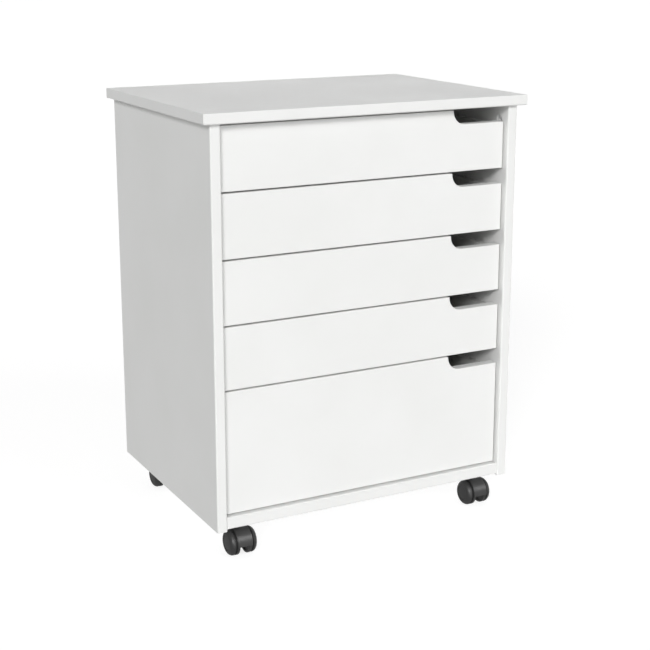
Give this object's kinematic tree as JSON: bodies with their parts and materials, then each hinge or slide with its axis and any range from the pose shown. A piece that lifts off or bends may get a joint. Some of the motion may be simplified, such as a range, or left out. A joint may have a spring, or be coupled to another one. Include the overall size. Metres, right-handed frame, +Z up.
{
  "type": "rolling pedestal cabinet",
  "caption": "White rolling pedestal cabinet with inset drawers, corner finger cut-outs, an overhanging top and hooded twin-wheel casters.",
  "frame": {"origin": "on the floor, under the middle of the cabinet's outline", "axes": "+Z up, -Y the way the drawers open, +X to the right as seen from the front"},
  "size_m": [0.534, 0.396, 0.664],
  "materials": {
    "white_lacquer": "smooth satin white lacquer on board",
    "drawer_board": "matt white foil on board",
    "white_hardboard": "thin hardboard with a white printed face",
    "runner_plastic": "white extruded plastic",
    "zinc": "zinc-plated steel",
    "beech": "fluted raw beech",
    "caster_housing": "dark grey moulded nylon with a soft sheen",
    "caster_wheel": "dark grey moulded nylon, matt tread"
  },
  "bodies": {
    "cabinet": {"side_panel_left": "white_lacquer", "side_panel_right": "white_lacquer", "top_panel": "white_lacquer", "bottom_panel": "white_lacquer", "back_panel": "white_hardboard", "runner_strips": "runner_plastic", "runner_screws": "zinc", "cam_locks": "zinc", "cam_bolts": "zinc", "carcass_dowels": "beech", "back_panel_nails": "zinc", "caster_plates": "zinc", "caster_kingpins": "zinc", "caster_screws": "zinc"},
    "drawer_1": {"drawer_1_front": "white_lacquer", "drawer_1_side_left": "drawer_board", "drawer_1_side_right": "drawer_board", "drawer_1_back": "drawer_board", "drawer_1_bottom": "white_hardboard", "drawer_1_dowels": "beech"},
    "drawer_2": {"drawer_2_front": "white_lacquer", "drawer_2_side_left": "drawer_board", "drawer_2_side_right": "drawer_board", "drawer_2_back": "drawer_board", "drawer_2_bottom": "white_hardboard", "drawer_2_dowels": "beech"},
    "drawer_3": {"drawer_3_front": "white_lacquer", "drawer_3_side_left": "drawer_board", "drawer_3_side_right": "drawer_board", "drawer_3_back": "drawer_board", "drawer_3_bottom": "white_hardboard", "drawer_3_dowels": "beech"},
    "drawer_4": {"drawer_4_front": "white_lacquer", "drawer_4_side_left": "drawer_board", "drawer_4_side_right": "drawer_board", "drawer_4_back": "drawer_board", "drawer_4_bottom": "white_hardboard", "drawer_4_dowels": "beech"},
    "drawer_5": {"drawer_5_front": "white_lacquer", "drawer_5_side_left": "drawer_board", "drawer_5_side_right": "drawer_board", "drawer_5_back": "drawer_board", "drawer_5_bottom": "white_hardboard", "drawer_5_dowels": "beech"},
    "caster_front_left": {"caster_front_left_hood": "caster_housing", "caster_front_left_axle": "zinc"},
    "caster_front_right": {"caster_front_right_hood": "caster_housing", "caster_front_right_axle": "zinc"},
    "caster_back_left": {"caster_back_left_hood": "caster_housing", "caster_back_left_axle": "zinc"},
    "caster_back_right": {"caster_back_right_hood": "caster_housing", "caster_back_right_axle": "zinc"},
    "caster_front_left_wheel_left": {"caster_front_left_wheel_left": "caster_wheel"},
    "caster_front_left_wheel_right": {"caster_front_left_wheel_right": "caster_wheel"},
    "caster_front_right_wheel_left": {"caster_front_right_wheel_left": "caster_wheel"},
    "caster_front_right_wheel_right": {"caster_front_right_wheel_right": "caster_wheel"},
    "caster_back_left_wheel_left": {"caster_back_left_wheel_left": "caster_wheel"},
    "caster_back_left_wheel_right": {"caster_back_left_wheel_right": "caster_wheel"},
    "caster_back_right_wheel_left": {"caster_back_right_wheel_left": "caster_wheel"},
    "caster_back_right_wheel_right": {"caster_back_right_wheel_right": "caster_wheel"}
  },
  "joints": [
    {"name": "drawer_1_slide", "type": "slide", "parent": "cabinet", "child": "drawer_1", "axis": [0, -1, 0], "range_m": [0, 0.25]},
    {"name": "drawer_2_slide", "type": "slide", "parent": "cabinet", "child": "drawer_2", "axis": [0, -1, 0], "range_m": [0, 0.25]},
    {"name": "drawer_3_slide", "type": "slide", "parent": "cabinet", "child": "drawer_3", "axis": [0, -1, 0], "range_m": [0, 0.25]},
    {"name": "drawer_4_slide", "type": "slide", "parent": "cabinet", "child": "drawer_4", "axis": [0, -1, 0], "range_m": [0, 0.25]},
    {"name": "drawer_5_slide", "type": "slide", "parent": "cabinet", "child": "drawer_5", "axis": [0, -1, 0], "range_m": [0, 0.25]},
    {"name": "caster_front_left_swivel", "type": "hinge", "parent": "cabinet", "child": "caster_front_left", "pos_m": [-0.209, -0.15, 0.0515], "axis": [0, 0, 1], "continuous": true},
    {"name": "caster_front_right_swivel", "type": "hinge", "parent": "cabinet", "child": "caster_front_right", "pos_m": [0.209, -0.15, 0.0515], "axis": [0, 0, 1], "continuous": true},
    {"name": "caster_back_left_swivel", "type": "hinge", "parent": "cabinet", "child": "caster_back_left", "pos_m": [-0.209, 0.157, 0.0515], "axis": [0, 0, 1], "continuous": true},
    {"name": "caster_back_right_swivel", "type": "hinge", "parent": "cabinet", "child": "caster_back_right", "pos_m": [0.209, 0.157, 0.0515], "axis": [0, 0, 1], "continuous": true},
    {"name": "caster_front_left_wheel_left_spin", "type": "hinge", "parent": "caster_front_left", "child": "caster_front_left_wheel_left", "pos_m": [-0.209, -0.166, 0.02], "axis": [1, 0, 0], "continuous": true},
    {"name": "caster_front_left_wheel_right_spin", "type": "hinge", "parent": "caster_front_left", "child": "caster_front_left_wheel_right", "pos_m": [-0.209, -0.166, 0.02], "axis": [1, 0, 0], "continuous": true},
    {"name": "caster_front_right_wheel_left_spin", "type": "hinge", "parent": "caster_front_right", "child": "caster_front_right_wheel_left", "pos_m": [0.209, -0.166, 0.02], "axis": [1, 0, 0], "continuous": true},
    {"name": "caster_front_right_wheel_right_spin", "type": "hinge", "parent": "caster_front_right", "child": "caster_front_right_wheel_right", "pos_m": [0.209, -0.166, 0.02], "axis": [1, 0, 0], "continuous": true},
    {"name": "caster_back_left_wheel_left_spin", "type": "hinge", "parent": "caster_back_left", "child": "caster_back_left_wheel_left", "pos_m": [-0.209, 0.141, 0.02], "axis": [1, 0, 0], "continuous": true},
    {"name": "caster_back_left_wheel_right_spin", "type": "hinge", "parent": "caster_back_left", "child": "caster_back_left_wheel_right", "pos_m": [-0.209, 0.141, 0.02], "axis": [1, 0, 0], "continuous": true},
    {"name": "caster_back_right_wheel_left_spin", "type": "hinge", "parent": "caster_back_right", "child": "caster_back_right_wheel_left", "pos_m": [0.209, 0.141, 0.02], "axis": [1, 0, 0], "continuous": true},
    {"name": "caster_back_right_wheel_right_spin", "type": "hinge", "parent": "caster_back_right", "child": "caster_back_right_wheel_right", "pos_m": [0.209, 0.141, 0.02], "axis": [1, 0, 0], "continuous": true}
  ]
}
